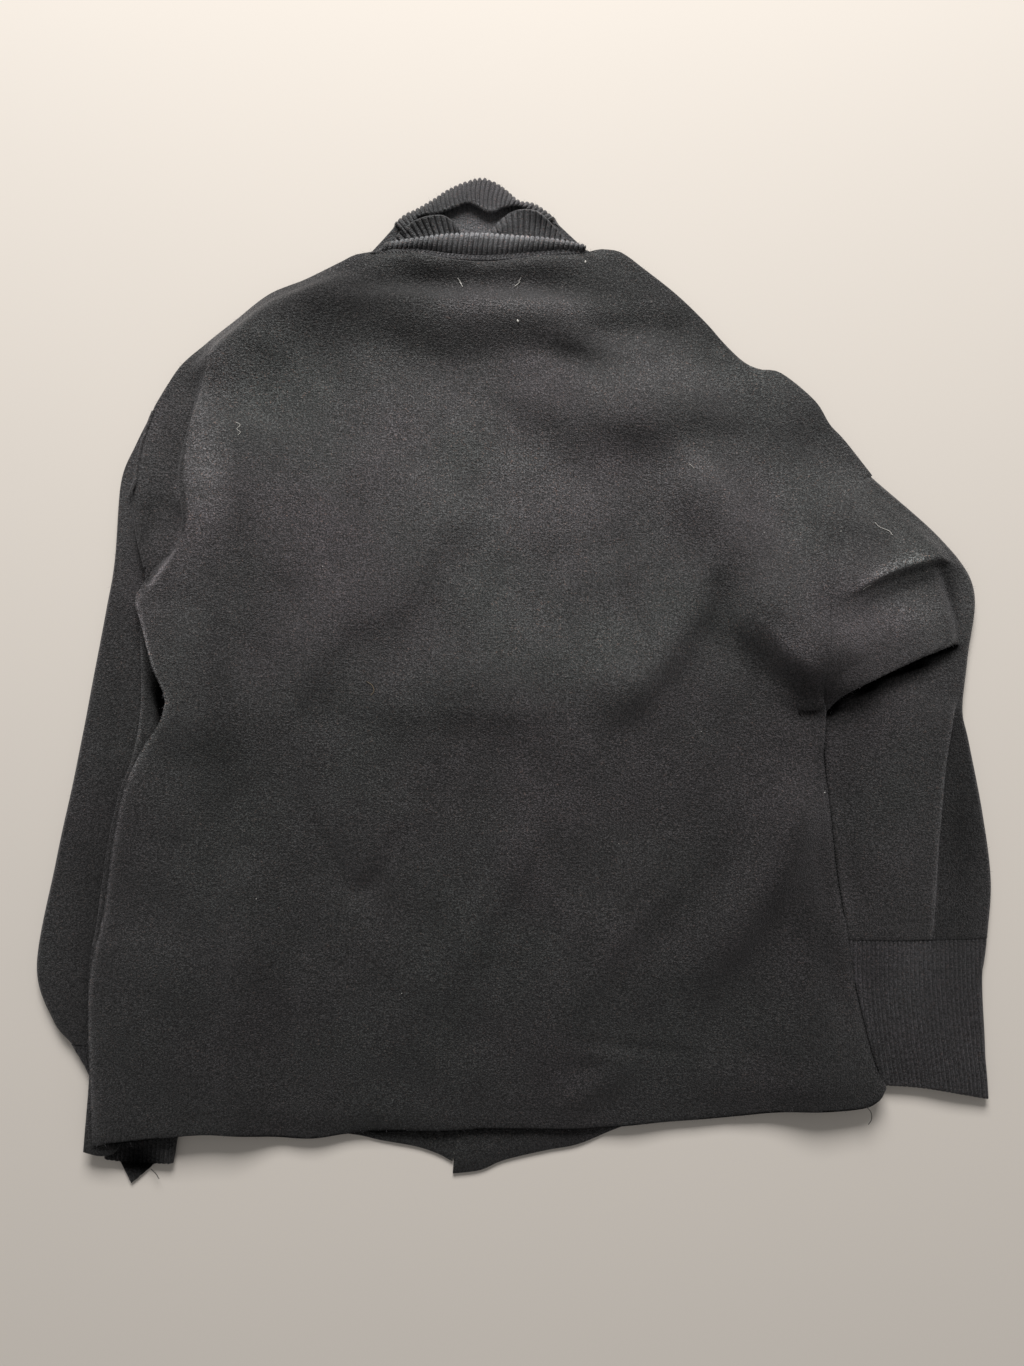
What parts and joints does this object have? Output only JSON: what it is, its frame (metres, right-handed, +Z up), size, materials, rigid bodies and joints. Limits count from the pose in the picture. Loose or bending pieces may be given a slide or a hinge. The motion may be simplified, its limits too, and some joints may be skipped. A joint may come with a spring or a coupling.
{
  "type": "turtleneck sweater",
  "caption": "Oversized felted-knit turtleneck sweater with drop shoulders and ribbed collar and cuffs, laid flat with its back up.",
  "frame": {"origin": "centre of the laid-out garment's plan box, on the surface it lies on", "axes": "+Z up from the surface it lies on, +Y from the hem towards the collar, +X across the body to the right sleeve as seen with the back up"},
  "size_m": [0.7669, 0.8032, 0.0369],
  "materials": {
    "knit_body": "charcoal black felted fine knit, matt and slightly fuzzy",
    "knit_rib": "charcoal black rib knit, matt"
  },
  "bodies": {
    "root": {"back": "knit_body", "front_left": "knit_body", "front_right": "knit_body", "sleeve_left": "knit_body", "sleeve_right": "knit_body", "cuff_left": "knit_rib", "cuff_right": "knit_rib", "neck_seam": "knit_rib", "collar_back": "knit_rib", "collar_inner": "knit_rib", "collar_front": "knit_rib"}
  },
  "joints": []
}
